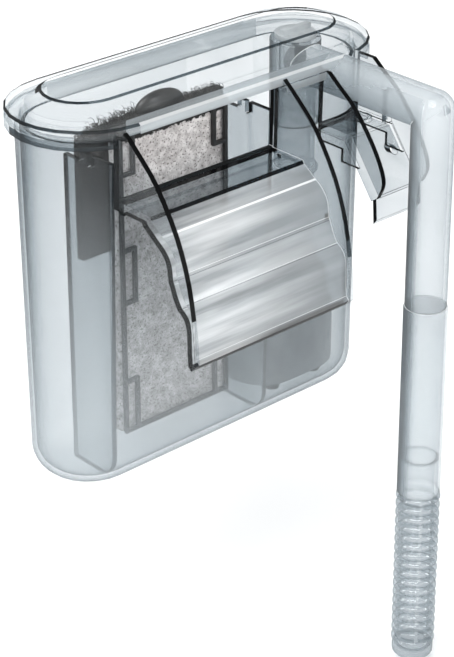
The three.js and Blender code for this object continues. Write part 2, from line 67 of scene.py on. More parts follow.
HORIZON_WHITE, OVERHEAD_GREY = 1.0, 0.30
FLOOR_DROP, FLOOR_HALF = 0.004, 4.0
EDGE_DEPTH = 4.0         # mm: beyond this depth an edge soon goes black
RIM_TINT = 14.0          # mm of plastic that a rounded outer edge stands for
PAINTED_LINE_TINT = 28.0         # mm of plastic that a painted dark line stands for, a painted shade along an edge or crease
LIGHT_TINT = 0.6         # mm of plastic that a face kept light stands for
RING_COUNT = 17          # rounded rings along the strainer
STRAND_COUNT = 300       # loose fibres on top of the carbon block
CARBON_SAG = 3.4         # mm that the carbon block's top sinks at its left end
SAG_REACH = 9 * MM       # how soon that sinking dies out along X


# ---- studio ---------------------------------------------------------------------------------
def make_camera():
    """The reference picture's viewpoint. The lens shift makes the upright lines converge less."""
    yaw, pitch, roll = 0.7344, 0.4250, -0.0026
    forward = Vector((math.sin(yaw) * math.cos(pitch), math.cos(yaw) * math.cos(pitch), -math.sin(pitch)))
    level = Vector((math.cos(yaw), -math.sin(yaw), 0))
    upward = level.cross(forward)
    right = level * math.cos(roll) + upward * math.sin(roll)
    up = upward * math.cos(roll) - level * math.sin(roll)
    data = bpy.data.cameras.new("camera")
    data.sensor_width = 36
    data.lens = 117.4
    data.shift_y = -0.2
    data.clip_start, data.clip_end = 0.05, 20
    camera = bpy.data.objects.new("camera", data)
    turn = Matrix((right, up, -forward)).transposed().to_4x4()
    camera.matrix_world = Matrix.Translation((-0.51606, -0.56196, 0.33409)) @ turn
    bpy.context.scene.collection.objects.link(camera)
    bpy.context.scene.camera = camera


def area_light(name, place, target, size, watts):
    data = bpy.data.lights.new(name, "AREA")
    data.shape = "RECTANGLE"
    data.size, data.size_y = size
    data.energy = watts
    lamp = bpy.data.objects.new(name, data)
    lamp.location = place
    lamp.rotation_euler = (Vector(target) - Vector(place)).to_track_quat("-Z", "Y").to_euler()
    bpy.context.scene.collection.objects.link(lamp)


def make_world():
    """White near the horizon and greyer overhead, so that glossy faces have something dark to mirror."""
    world = bpy.data.worlds.new("studio")
    world.use_nodes = True
    tree = world.node_tree
    background = tree.nodes["Background"]
    place = tree.nodes.new("ShaderNodeTexCoord")
    split = tree.nodes.new("ShaderNodeSeparateXYZ")
    ramp = tree.nodes.new("ShaderNodeValToRGB")
    stops = [(0.0, HORIZON_WHITE), (0.2, HORIZON_WHITE), (0.55, OVERHEAD_GREY), (1.0, OVERHEAD_GREY)]
    for _ in stops[2:]:
        ramp.color_ramp.elements.new(0.5)
    for element, (at, grey) in zip(ramp.color_ramp.elements, stops):
        element.position = at
        element.color = (0.985 * grey, 0.995 * grey, grey, 1)
    tree.links.new(place.outputs["Generated"], split.inputs["Vector"])
    tree.links.new(split.outputs["Z"], ramp.inputs["Fac"])
    tree.links.new(ramp.outputs["Color"], background.inputs["Color"])
    background.inputs["Strength"].default_value = 1.0
    bpy.context.scene.world = world


def make_floor():
    mesh = bpy.data.meshes.new("floor")
    z = cad_low.z - FLOOR_DROP
    corners = [(x, y, z) for x, y in ((-1, -1), (1, -1), (1, 1), (-1, 1))]
    mesh.from_pydata([(FLOOR_HALF * x, FLOOR_HALF * y, z) for x, y, z in corners], [], [(0, 1, 2, 3)])
    floor = bpy.data.objects.new("floor", mesh)
    bpy.context.scene.collection.objects.link(floor)
    material = bpy.data.materials.new("floor_paint")
    material.use_nodes = True
    shader = material.node_tree.nodes["Principled BSDF"]
    shader.inputs["Base Color"].default_value = (0.95, 0.955, 0.96, 1)
    shader.inputs["Roughness"].default_value = 0.9
    shader.inputs["Specular IOR Level"].default_value = 0.0
    mesh.materials.append(material)


def make_studio():
    scene = bpy.context.scene
    scene.view_settings.view_transform = "Standard"
    scene.cycles.max_bounces = 24
    scene.cycles.transmission_bounces = 24
    scene.cycles.transparent_max_bounces = 40
    make_world()
    middle = (cad_low + cad_high) / 2
    area_light("key", middle + Vector((-0.8, -0.5, 1.5)), middle, (1.3, 1.3), 36)
    area_light("back", middle + Vector((0.2, 1.5, 0.8)), middle, (1.6, 1.0), 16)
    area_light("right_strip", middle + Vector((0.45, -1.25, 0.25)), middle, (0.20, 1.3), 7)
    area_light("left_strip", middle + Vector((-1.25, 0.30, 0.25)), middle, (0.20, 1.3), 5)
    make_floor()


# ---- materials --------------------------------------------------------------------------------
class Graph:
    """A short way to write a material's nodes."""

    def __init__(self, name):
        self.material = bpy.data.materials.new(name)
        self.material.use_nodes = True
        self.tree = self.material.node_tree
        self.shader = self.tree.nodes["Principled BSDF"]
        self.output = self.tree.nodes["Material Output"]

    def node(self, kind, **values):
        made = self.tree.nodes.new("ShaderNode" + kind)
        for key, value in values.items():
            if key in made.inputs:
                made.inputs[key].default_value = value
            else:
                setattr(made, key, value)
        return made

    def link(self, source, target):
        self.tree.links.new(source, target)

    def place(self):
        return self.node("TexCoord").outputs["Object"]

    def noise(self, scale, detail=3.0, stretch=None):
        made = self.node("TexNoise", Scale=scale, Detail=detail)
        source = self.place()
        if stretch:
            mapping = self.node("Mapping", Scale=stretch)
            self.link(source, mapping.inputs["Vector"])
            source = mapping.outputs["Vector"]
        self.link(source, made.inputs["Vector"])
        return made.outputs["Fac"]

    def ramp(self, source, *stops):
        made = self.node("ValToRGB")
        elements = made.color_ramp.elements
        while len(elements) < len(stops):
            elements.new(0.5)
        for element, (at, colour) in zip(elements, stops):
            element.position = at
            element.color = (*colour, 1) if len(colour) == 3 else colour
        self.link(source, made.inputs["Fac"])
        return made.outputs["Color"]

    def math(self, operation, first, second):
        made = self.node("Math", operation=operation)
        for socket, value in zip(made.inputs, (first, second)):
            if isinstance(value, (int, float)):
                socket.default_value = value
            else:
                self.link(value, socket)
        return made.outputs["Value"]

    def mix_shader(self, factor, first, second):
        made = self.node("MixShader")
        if isinstance(factor, (int, float)):
            made.inputs["Fac"].default_value = factor
        else:
            self.link(factor, made.inputs["Fac"])
        self.link(first, made.inputs[1])
        self.link(second, made.inputs[2])
        return made.outputs["Shader"]

    def span(self, source, low, high, span_from=(0.0, 1.0)):
        made = self.node("MapRange")
        made.inputs["From Min"].default_value, made.inputs["From Max"].default_value = span_from
        made.inputs["To Min"].default_value = low
        made.inputs["To Max"].default_value = high
        self.link(source, made.inputs["Value"])
        return made.outputs["Result"]

    def bump(self, source, strength, distance=0.0005):
        made = self.node("Bump", Strength=strength, Distance=distance)
        self.link(source, made.inputs["Height"])
        self.link(made.outputs["Normal"], self.shader.inputs["Normal"])


def clear_plastic(name, keep, haze, low_haze=0.0, low_tint=1.0, top_tint=1.0, edge=1.0, gloss=0.012,
                  grazing=0.3, milk=(0.74, 0.78, 0.80), painted_streaks=None):
    """Smoky clear plastic as thin walls.

    keep is the share of each colour that passes a millimetre. The "tint" attribute says how many
    millimetres a face stands for, so that cut edges go dark, and "glint" marks the rounded inner
    corners that catch the light. Haze is the milky part. Haze and tint may change towards the
    bottom, by low_haze and low_tint, and tint at the very top. A higher edge darkens a tube faster
    towards its sides. Gloss is the mirror share of a face seen square on, and grazing what it
    gains at a slant.
    Painted streaks are light and dark bands along X, a painted reflection of the light that the ramp's
    waves bend, and they give less haze and more tint towards +X, a painted shade: how much haze and how
    much tint they add.
    """
    g = Graph(name)
    facing = g.node("LayerWeight", Blend=0.5).outputs["Facing"]
    cosine = g.math("MAXIMUM", g.math("SUBTRACT", 1.0, facing), 0.2)
    tint = g.node("Attribute", attribute_name="tint").outputs["Fac"]
    glint = g.node("Attribute", attribute_name="glint").outputs["Fac"]
    height = g.node("SeparateXYZ")
    g.link(g.place(), height.inputs["Vector"])
    depth = g.math("DIVIDE", tint, g.math("POWER", cosine, edge))
    lower_part = (-0.10, 0.01)
    depth = g.math("MULTIPLY", depth, g.span(height.outputs["Z"], low_tint, 1.0, span_from=lower_part))
    depth = g.math("MULTIPLY", depth, g.span(height.outputs["Z"], 1.0, top_tint, span_from=(0.0, 0.018)))
    amount = g.span(g.noise(14, 3), 0.7 * haze, 1.3 * haze, span_from=(0.3, 0.7))
    amount = g.math("ADD", amount, g.span(height.outputs["Z"], low_haze, 0.0, span_from=lower_part))
    if painted_streaks:
        more_haze, more_tint = painted_streaks
        # painted streaks: broad and fine bands of painted highlight and shade along X, and painted shade
        # towards +X
        broad = g.span(g.noise(1.0, 4, stretch=(9, 150, 150)), 0.0, 1.0, span_from=(0.38, 0.66))
        fine = g.span(g.noise(1.0, 5, stretch=(14, 420, 420)), 0.0, 1.0, span_from=(0.45, 0.75))
        side = g.span(height.outputs["X"], 1.0, 0.10, span_from=(-0.045, 0.008))
        amount = g.math("ADD", amount, g.math("MULTIPLY", g.math("MULTIPLY", broad, side), more_haze))
        depth = g.math("ADD", depth, g.math("MULTIPLY", g.math("SUBTRACT", 1.0, broad), more_tint))
        depth = g.math("ADD", depth, g.math("MULTIPLY", fine, 0.5 * more_tint))
        depth = g.math("ADD", depth, g.math("MULTIPLY", g.math("SUBTRACT", 1.0, side), 0.55 * more_tint))
    passed = g.node("CombineColor")
    for channel, share in zip(("Red", "Green", "Blue"), keep):
        g.link(g.math("POWER", share, depth), passed.inputs[channel])
    clear = g.node("BsdfTransparent")
    g.link(passed.outputs["Color"], clear.inputs["Color"])

    milky = g.mix_shader(0.5, g.node("BsdfDiffuse", Color=(*milk, 1)).outputs[0],
                         g.node("BsdfTranslucent", Color=(*milk, 1)).outputs[0])
    body = g.mix_shader(amount, clear.outputs[0], milky)
    white = g.mix_shader(0.4, g.node("BsdfDiffuse", Color=(1, 1, 1, 1)).outputs[0],
                         g.node("BsdfTranslucent", Color=(1, 1, 1, 1)).outputs[0])
    body = g.mix_shader(g.math("MULTIPLY", glint, 0.85), body, white)

    mirror = g.node("BsdfAnisotropic", Color=(1, 1, 1, 1))
    g.link(g.span(g.noise(45, 3), 0.05, 0.12), mirror.inputs["Roughness"])
    wave = g.node("Bump", Strength=0.02, Distance=0.001)
    g.link(g.noise(24, 1), wave.inputs["Height"])
    g.link(wave.outputs["Normal"], mirror.inputs["Normal"])
    share = g.math("ADD", g.math("MULTIPLY", g.math("POWER", facing, 5.0), grazing), gloss)
    surface = g.mix_shader(share, body, mirror.outputs[0])
    g.link(surface, g.output.inputs["Surface"])
    g.tree.nodes.remove(g.shader)
    return g.material


def moulded_plastic(name, dark, light):
    """Opaque moulded plastic with a fine spark-eroded grain."""
    g = Graph(name)
    g.link(g.ramp(g.noise(220, 5), (0.3, dark), (0.75, light)), g.shader.inputs["Base Color"])
    g.link(g.span(g.noise(60, 4), 0.38, 0.55), g.shader.inputs["Roughness"])
    g.bump(g.noise(90, 2), 0.05, 0.0004)
    return g.material


def floss_material(edge_z):
    """Off-white pressed fibre, flecked with caught carbon dust, and a ragged black band above edge_z."""
    g = Graph("white_floss")
    fibres = g.ramp(g.noise(420, 6), (0.28, (0.40, 0.37, 0.36)), (0.66, (0.76, 0.725, 0.71)))
    dust = g.ramp(g.noise(130, 3), (0.35, (0.80, 0.79, 0.79)), (0.6, (1, 1, 1)))
    specks = g.ramp(g.noise(1150, 3), (0.56, (1, 1, 1)), (0.64, (0.28, 0.26, 0.25)))
    tone = fibres
    for layer in (dust, specks):
        mixed = g.node("Mix", data_type="RGBA", blend_type="MULTIPLY")
        mixed.inputs["Factor"].default_value = 1.0
        g.link(tone, mixed.inputs[6])
        g.link(layer, mixed.inputs[7])
        tone = mixed.outputs[2]
    height = g.node("SeparateXYZ")
    g.link(g.place(), height.inputs["Vector"])
    wander = g.span(g.noise(500, 4), -0.0009, 0.0009, span_from=(0.3, 0.7))
    ragged = g.math("ADD", height.outputs["Z"], wander)
    edge = g.node("Mix", data_type="RGBA")
    g.link(g.span(ragged, 0.0, 1.0, span_from=(edge_z - 0.0002, edge_z + 0.0002)), edge.inputs["Factor"])
    g.link(tone, edge.inputs[6])
    edge.inputs[7].default_value = (0.012, 0.011, 0.010, 1)
    g.link(edge.outputs[2], g.shader.inputs["Base Color"])
    g.shader.inputs["Roughness"].default_value = 0.95
    g.shader.inputs["Sheen Weight"].default_value = 0.1
    g.bump(g.noise(700, 5), 0.6, 0.0005)
    return g.material


def carbon_material():
    """Black needled fibre with a brown cast."""
    g = Graph("carbon_fibre")
    tone = g.ramp(g.noise(300, 6, stretch=(1, 1, 0.2)),
                  (0.3, (0.008, 0.008, 0.008)), (0.72, (0.050, 0.045, 0.041)))
    g.link(tone, g.shader.inputs["Base Color"])
    g.link(g.span(g.noise(200, 4), 0.75, 0.95), g.shader.inputs["Roughness"])
    g.bump(g.noise(600, 5), 0.7, 0.0006)
    return g.material


def pull_material():
    """The smooth skin of the carbon block's pull: black, slightly glossy, lightly orange-peeled."""
    g = Graph("carbon_pull_skin")
    g.link(g.ramp(g.noise(160, 4), (0.3, (0.014, 0.014, 0.014)), (0.8, (0.040, 0.038, 0.036))),
           g.shader.inputs["Base Color"])
    g.link(g.span(g.noise(120, 3), 0.22, 0.42), g.shader.inputs["Roughness"])
    g.bump(g.noise(180, 3), 0.15, 0.0003)
    return g.material


def rubber_material():
    g = Graph("rubber")
    g.link(g.ramp(g.noise(300, 4), (0.3, (0.018, 0.018, 0.019)), (0.8, (0.045, 0.044, 0.043))),
           g.shader.inputs["Base Color"])
    g.link(g.span(g.noise(120, 3), 0.6, 0.85), g.shader.inputs["Roughness"])
    g.bump(g.noise(1500, 3), 0.2, 0.0001)
    return g.material


def metal_material(name, colour, bands):
    """Laminated or wound metal: fine bands along one axis."""
    g = Graph(name)
    wave = g.node("TexWave", Scale=bands, Distortion=0.4)
    wave.bands_direction = "Z"
    g.link(g.place(), wave.inputs["Vector"])
    dark = tuple(0.45 * c for c in colour)
    g.link(g.ramp(wave.outputs["Fac"], (0.35, dark), (0.6, colour)), g.shader.inputs["Base Color"])
    g.shader.inputs["Metallic"].default_value = 1.0
    g.link(g.span(g.noise(200, 3), 0.3, 0.5), g.shader.inputs["Roughness"])
    g.bump(wave.outputs["Fac"], 0.4, 0.0002)
    return g.material


def stone_material(name, dark, light, rough):
    g = Graph(name)
    g.link(g.ramp(g.noise(500, 5), (0.3, dark), (0.75, light)), g.shader.inputs["Base Color"])
    g.link(g.span(g.noise(250, 4), *rough), g.shader.inputs["Roughness"])
    return g.material


MATERIALS = {
    "clear_plastic": clear_plastic("smoky_clear", (0.905, 0.914, 0.919), 0.01, low_haze=0.20, low_tint=0.6,
                                   edge=1.5),
    "motor_plastic": moulded_plastic("motor_plastic", (0.16, 0.172, 0.182), (0.25, 0.268, 0.280)),
    "black_plastic": moulded_plastic("frame_plastic", (0.006, 0.006, 0.006), (0.020, 0.020, 0.020)),
    "white_floss": floss_material(0.0189),
    "carbon_fibre_pad": carbon_material(),
    "rubber": rubber_material(),
    "steel": metal_material("steel_laminations", (0.50, 0.50, 0.51), 900),
    "copper": metal_material("copper_winding", (0.62, 0.28, 0.12), 1200),
    "ferrite": stone_material("ferrite", (0.02, 0.02, 0.02), (0.06, 0.058, 0.055), (0.4, 0.6)),
    "ceramic": stone_material("ceramic", (0.72, 0.70, 0.66), (0.85, 0.83, 0.80), (0.15, 0.3)),
}
LID_CLEAR = clear_plastic("smoky_lid", (0.981, 0.983, 0.984), 0.03, edge=1.2, gloss=0.004, grazing=0.05)
# for the lid's skirt and the tank's top front: milky, with painted streaks of highlight and shade
SKIRT_CLEAR = clear_plastic("smoky_skirt", (0.981, 0.983, 0.984), 0.42, gloss=0.004,
                            painted_streaks=(0.25, 18.0))
PIPE_CLEAR = clear_plastic("smoky_pipe", (0.905, 0.914, 0.919), 0.20, edge=1.1, low_tint=0.6, top_tint=0.75,
                           grazing=0.15, milk=(0.80, 0.84, 0.86))
CHEEK_CLEAR = clear_plastic("smoky_cheek", (0.940, 0.946, 0.950), 0.03)
EDGE_CLEAR = clear_plastic("smoky_edge", (0.905, 0.914, 0.919), 0.006, edge=1.5)
THIN_CLEAR = clear_plastic("smoky_thin", (0.935, 0.942, 0.946), 0.16, edge=1.2, gloss=0.03)
# the ramp: milky, with painted streaks of highlight and shade
RAMP_CLEAR = clear_plastic("smoky_ramp", (0.905, 0.914, 0.919), 0.20, milk=(0.97, 0.98, 0.985),
                           painted_streaks=(0.62, 3.2))
KNOB_GREY = moulded_plastic("knob_grey", (0.34, 0.36, 0.37), (0.46, 0.48, 0.49))
PULL_SKIN = pull_material()
SLOT_OF = {part["node"]: part["material_slot"] for part in frame["record"]["subparts"]}
BODY_OF = {node: body for body, group in frame["record"]["behaviour"]["bodies"].items() for node in group}


def dress(obj, *materials):
    obj.data.materials.clear()
    for material in materials:
        obj.data.materials.append(material)


def finish_piece(piece, node, *materials):
    """Gives a piece its materials, slot and body, and puts it in the place of a CAD node."""
    dress(piece, *(materials or [MATERIALS[SLOT_OF[node]]]))
    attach(piece, BODY_OF[node])
    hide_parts(node)
    return piece


def object_from(name, points, faces):
    mesh = bpy.data.meshes.new(name)
    mesh.from_pydata(points, [], faces)
    mesh.validate()
    piece = bpy.data.objects.new(name, mesh)
    bpy.context.scene.collection.objects.link(piece)
    return piece


# ---- carried-over shapes, with their moulding radii ---------------------------------------------
def finished_copy(node, *materials, bevel=0.25, angle=32, rim=RIM_TINT, most=60.0, cuts=(),
                  glints=True):
    """A carried-over shape with its moulding radii: flat faces joined up, edges rounded, curves smooth.

    cuts are planes, an axis and a place on it, where faces that run through a junction are parted.
    rim and most say how dark the outer edges and the deepest faces go. glints says whether inner
    corners catch the light.
    """
    mesh = NODES[node].data.copy()
    work = bmesh.new()
    work.from_mesh(mesh)
    bmesh.ops.remove_doubles(work, verts=work.verts, dist=1e-6)
    bmesh.ops.dissolve_limit(work, angle_limit=math.radians(0.6), verts=work.verts, edges=work.edges)
    work.to_mesh(mesh)
    work.free()
    piece = bpy.data.objects.new(node + "_finished", mesh)
    bpy.context.scene.collection.objects.link(piece)
    mesh.materials.clear()
    for slot in ("wall", "rim"):
        mesh.materials.append(bpy.data.materials.get(slot) or bpy.data.materials.new(slot))
    for polygon in mesh.polygons:
        polygon.material_index = 0
    rounding = piece.modifiers.new("edge_radius", "BEVEL")
    rounding.width = bevel * MM
    rounding.segments = 2
    rounding.limit_method = "ANGLE"
    rounding.angle_limit = math.radians(angle)
    rounding.use_clamp_overlap = True
    rounding.harden_normals = False
    rounding.material = 1
    bake_modifiers(piece)
    for axis, place in cuts:
        cut_across(piece.data, axis, place)
    smooth_by_angle(piece, angle)
    tint_by_depth(piece.data, rim, most, glints)
    return finish_piece(piece, node, *materials)


def cut_across(mesh, axis, place):
    work = bmesh.new()
    work.from_mesh(mesh)
    everything = work.verts[:] + work.edges[:] + work.faces[:]
    bmesh.ops.bisect_plane(work, geom=everything, plane_co=axis * place, plane_no=axis)
    work.to_mesh(mesh)
    work.free()


def tint_by_depth(mesh, rim=RIM_TINT, most=60.0, glints=True):
    """Stores how many millimetres of plastic each face stands for, measured straight in from it.

    A wall's face stands for half the wall. Light that enters a cut edge is caught between the
    faces and goes much further, so the figure grows fast with depth. A rounded outer edge stands
    for rim, and a rounded inner corner gets a glint instead.
    """
    mesh.calc_loop_triangles()
    points = [v.co for v in mesh.vertices]
    tree = BVHTree.FromPolygons(points, [t.vertices for t in mesh.loop_triangles])
    depths = [[] for _ in mesh.polygons]
    for t in mesh.loop_triangles:
        centre = sum((points[v] for v in t.vertices), Vector()) / 3
        normal = mesh.polygons[t.polygon_index].normal
        hit = tree.ray_cast(centre - normal * 2e-5, -normal)
        if hit[0] is not None:
            depths[t.polygon_index].append((hit[3] / MM, t.area))
    inner = inner_corners(mesh) if glints else set()
    tint = mesh.attributes.new("tint", "FLOAT", "FACE")
    glint = mesh.attributes.new("glint", "FLOAT", "FACE")
    for polygon, found in zip(mesh.polygons, depths):
        depth = weighted_median(found) if found else 1.0
        value = depth / 2 * (1 + (depth / EDGE_DEPTH) ** 2)
        if polygon.material_index == 1:
            value = 0.3 if polygon.index in inner else rim
        tint.data[polygon.index].value = min(value, most)
        glint.data[polygon.index].value = 1.0 if polygon.index in inner else 0.0
        polygon.material_index = 0


def weighted_median(found):
    found = sorted(found)
    half = sum(area for _, area in found) / 2
    for depth, area in found:
        half -= area
        if half <= 0:
            return depth
    return found[-1][0]


def inner_corners(mesh):
    """The rounded faces that fill a hollow corner, told by the bend to their neighbours."""
    work = bmesh.new()
    work.from_mesh(mesh)
    found = set()
    for face in work.faces:
        if face.material_index == 1:
            bend = sum(e.calc_face_angle_signed(0) * e.calc_length() for e in face.edges)
            if bend < 0:
                found.add(face.index)
    work.free()
    return found


def bake_modifiers(piece):
    depsgraph = bpy.context.evaluated_depsgraph_get()
    mesh = bpy.data.meshes.new_from_object(piece.evaluated_get(depsgraph))
    old = piece.data
    piece.modifiers.clear()
    piece.data = mesh
    bpy.data.meshes.remove(old)


def smooth_by_angle(piece, degrees):
    mesh = piece.data
    mesh.shade_smooth()
    mesh.set_sharp_from_angle(angle=math.radians(degrees))


def make_lid():
    """The lid: nearly clear, with painted dark lines round its raised middle and its outer edge, darkest at
    the back and left end, a painted highlight along the straight front of its edge, and hazy with painted
    streaks down its front.
    """
    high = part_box("lid")[1].z
    piece = finished_copy("lid", LID_CLEAR, SKIRT_CLEAR, rim=25.0, glints=False)
    glint = piece.data.attributes["glint"].data
    for polygon, tint in zip(piece.data.polygons, piece.data.attributes["tint"].data):
        drop, up = (high - polygon.center.z) / MM, polygon.normal.z
        on_ring = drop < (1.6 if polygon.normal.y > 0.2 else 0.85) and 0.2 < up < 0.97
        on_edge = 5.7 < drop < 7.0 and up > 0.2
        in_front = polygon.normal.y < -0.5 and abs(polygon.normal.x) < 0.05
        # painted highlight along the straight front of the outer edge; painted shade in dark lines round
        # the raised middle and the outer edge, darkest at the back and the left end
        if on_edge and in_front:
            glint[polygon.index].value = 0.5
        elif on_ring or on_edge:
            tint.value = 140.0 if polygon.normal.y > 0.2 or polygon.normal.x < -0.3 else 70.0
        elif drop > 7.0 and in_front:
            polygon.material_index = 1


def make_tank():
    """The tank: light along its top edges, with a painted dark line along the sill under the waterfall's
    mouth.
    """
    low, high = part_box("tank_body")
    middle, high = (low + high) / 2, high.z
    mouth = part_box("spillway_chute")
    sill_top, sill_foot, cheek = 26.3, 27.2, 2.3 * MM
    across, up = Vector((1, 0, 0)), Vector((0, 0, 1))
    piece = finished_copy("tank_body", MATERIALS["clear_plastic"], SKIRT_CLEAR,
                          cuts=((up, high - sill_foot * MM), (across, mouth[0].x + cheek),
                                (across, mouth[1].x - cheek)))
    for polygon, tint in zip(piece.data.polygons, piece.data.attributes["tint"].data):
        drop = (high - polygon.center.z) / MM
        towards = polygon.center - middle
        outside = towards.x * polygon.normal.x + towards.y * polygon.normal.y > 0
        front = outside and polygon.normal.y < 0.2 and polygon.normal.x < 0.3
        in_mouth = polygon.center.y < middle.y and mouth[0].x < polygon.center.x < mouth[1].x
        # painted shade: a dark line along the sill under the mouth
        if sill_top < drop < sill_foot and in_mouth:
            tint.value = PAINTED_LINE_TINT
        elif drop < 6 and polygon.normal.y < -0.98:
            polygon.material_index = 1
        elif drop < 9 and not (front and abs(polygon.normal.z) < 0.7):
            tint.value = min(tint.value, LIGHT_TINT)


def shade_pipe(piece):
    """One soft outline for a pipe: its bore hardly shows, and its -X +Y side is in shade."""
    mesh = piece.data
    tree = BVHTree.FromPolygons([v.co for v in mesh.vertices], [p.vertices for p in mesh.polygons])
    for polygon, tint in zip(mesh.polygons, mesh.attributes["tint"].data):
        normal = polygon.normal
        across = tree.ray_cast(polygon.center + normal * 2e-5, normal, 20 * MM)
        if across[0] is not None:
            tint.value *= 0.25
        else:
            tint.value = 1.3 * tint.value + 11.0 * max(0.0, normal.y - normal.x - 0.6)


def make_bracket():
    """The pipe's bracket: black along every edge, but light across its floor."""
    low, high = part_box("pipe_bracket")
    cheek, least_area = 2.4 * MM, 12 * MM * MM
    piece = finished_copy("pipe_bracket", EDGE_CLEAR, bevel=0.4, rim=40.0, glints=False)
    for polygon, tint in zip(piece.data.polygons, piece.data.attributes["tint"].data):
        between = low.x + cheek < polygon.center.x < high.x - cheek
        if between and polygon.area > least_area and abs(polygon.normal.z) > 0.9:
            tint.value = min(tint.value, LIGHT_TINT)


def make_chute():
    """The waterfall: clear cheeks and level floor, then a milkier ramp with painted streaks of highlight
    and shade, and a dark lip.

    Painted dark lines, a painted shade, run along the sill, at the floor's back, along its front edge, and
    over the lip. The ramp's first fold gets a painted bright line, and the cheeks' front edges are clear
    near their ends.
    """
    low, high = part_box("spillway_chute")
    cheek, lip, clear_end = 2.25 * MM, 2.4 * MM, low.z + 23 * MM
    sill, edge, fold = -0.8 * MM, (-15.3 * MM, -14.5 * MM), (-22.0 * MM, -21.2 * MM)
    across, along = Vector((1, 0, 0)), Vector((0, 1, 0))
    piece = finished_copy("spillway_chute", EDGE_CLEAR, RAMP_CLEAR, CHEEK_CLEAR, bevel=0.4, angle=12,
                          cuts=((across, low.x + cheek), (across, high.x - cheek), (along, sill),
                                (along, edge[0]), (along, edge[1]), (along, fold[0]), (along, fold[1])))
    tint = piece.data.attributes["tint"].data
    glint = piece.data.attributes["glint"].data
    for polygon in piece.data.polygons:
        k, centre, normal = polygon.index, polygon.center, polygon.normal
        if not (low.x + cheek < centre.x < high.x - cheek and abs(normal.x) < 0.3):
            if abs(normal.x) > 0.985:
                polygon.material_index = 2
            elif centre.x > high.x - cheek and normal.z < -0.1 and normal.y > -0.2:
                tint[k].value = min(tint[k].value, 2.0)
            elif centre.z < clear_end and normal.y < -0.3 and abs(normal.x) < 0.1:
                tint[k].value = 1.0
            elif centre.x < low.x + cheek:
                tint[k].value, glint[k].value = 60.0, 0.0
            continue
        # painted shade: dark lines over the lip, at the floor's back by the sill, and along the floor's
        # front edge
        at_lip = centre.z < low.z + lip
        at_line = normal.z > 0.3 and (centre.y > sill or edge[0] < centre.y < edge[1])
        if at_lip or at_line:
            tint[k].value, glint[k].value = PAINTED_LINE_TINT, 0.0
        # painted highlight: a bright line along the ramp's first fold
        elif normal.z > 0.3 and fold[0] < centre.y < fold[1]:
            tint[k].value, glint[k].value = 0.3, 1.0
        elif centre.y > edge[0]:
            tint[k].value, glint[k].value = min(tint[k].value, 0.5), 0.0
        elif tint[k].value < 3:
            polygon.material_index = 1


# ---- filter media ---------------------------------------------------------------------------------
def closed_pad(name, node, columns, rows, crown, roughness, sag=0.0):
    """A pad standing in X-Z: two surfaces that draw together towards its edge, closed round it.

    Its top sinks by sag, in mm, towards its left end.
    """
    low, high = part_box(node)
    middle, half = (low.y + high.y) / 2, (high.y - low.y) / 2
    points, faces = [], []
    for side in (-1, 1):
        for j in range(rows + 1):
            for i in range(columns + 1):
                u, v = i / columns, j / rows
                x, z = low.x + u * (high.x - low.x), low.z + v * (high.z - low.z)
                edge = min(x - low.x, high.x - x, z - low.z, high.z - z) / MM
                z -= v * sag * MM * math.exp(-(x - low.x) / SAG_REACH)
                shape = 1 - crown * math.exp(-edge / 1.3)
                lump = noise.fractal(Vector((x, side, z)) / MM / 5, 0.8, 2.0, 4) * roughness
                y = middle + side * half * max(0.15, min(1.0, shape - abs(lump)))
                points.append(Vector((x, y, z)))
    layer = (columns + 1) * (rows + 1)
    for j in range(rows):
        for i in range(columns):
            a = j * (columns + 1) + i
            front = (a, a + 1, a + columns + 2, a + columns + 1)
            faces.append(front)
            faces.append(tuple(layer + k for k in reversed(front)))
    rim = ([i for i in range(columns)] + [j * (columns + 1) + columns for j in range(rows)]
           + [rows * (columns + 1) + i for i in range(columns, 0, -1)]
           + [j * (columns + 1) for j in range(rows, 0, -1)])
    for a, b in zip(rim, rim[1:] + rim[:1]):
        faces.append((b, a, layer + a, layer + b))
    piece = object_from(name, points, faces)
    piece.data.shade_smooth()
    return piece


def make_media():
    floss = closed_pad("floss_pad_pressed", "floss_pad", 50, 118, 0.35, 0.10)
    finish_piece(floss, "floss_pad")
    carbon = closed_pad("carbon_block_needled", "carbon_block", 64, 50, 0.45, 0.16,
                        sag=CARBON_SAG)
    finish_piece(carbon, "carbon_block")
    make_pull()
    make_fray()


def make_pull():
    """A flattened half dome, finely ringed, standing on the carbon block."""
    low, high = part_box("carbon_pull")
    middle = (low + high) / 2
    half = (high - low) / 2
    around, up = 48, 14
    points, faces = [], []
    for j in range(up):
        lift = j / up * math.pi / 2
        for i in range(around):
            turn = 2 * math.pi * i / around
            points.append((middle.x + half.x * math.cos(lift) * math.cos(turn),
                           middle.y + half.y * math.cos(lift) * math.sin(turn),
                           low.z + 2 * half.z * math.sin(lift)))
    top = len(points)
    points.append((middle.x, middle.y, high.z))
    for j in range(up - 1):
        for i in range(around):
            a, b = j * around + i, j * around + (i + 1) % around
            faces.append((a, b, b + around, a + around))
    for i in range(around):
        faces.append(((up - 1) * around + i, (up - 1) * around + (i + 1) % around, top))
    faces.append(tuple(reversed(range(around))))
    pull = object_from("carbon_pull_dome", points, faces)
    smooth_by_angle(pull, 40)
    finish_piece(pull, "carbon_pull", PULL_SKIN)


def add_fibre(points, faces, path, radius):
    """A thin three-sided strand along a path, closed at both ends."""
    start = len(points)
    for k, place in enumerate(path):
        ahead = (path[min(k + 1, len(path) - 1)] - path[max(k - 1, 0)]).normalized()
        side = ahead.orthogonal().normalized()
        over = ahead.cross(side)
        thin = radius * (1 - 0.6 * k / (len(path) - 1))
        for turn in (0, 2 * math.pi / 3, 4 * math.pi / 3):
            points.append(place + (side * math.cos(turn) + over * math.sin(turn)) * thin)
    for k in range(len(path) - 1):
        for i in range(3):
            a, b = start + 3 * k + i, start + 3 * k + (i + 1) % 3
            faces.append((a, b, b + 3, a + 3))
    end = start + 3 * (len(path) - 1)
    faces.append((start + 2, start + 1, start))
    faces.append((end, end + 1, end + 2))


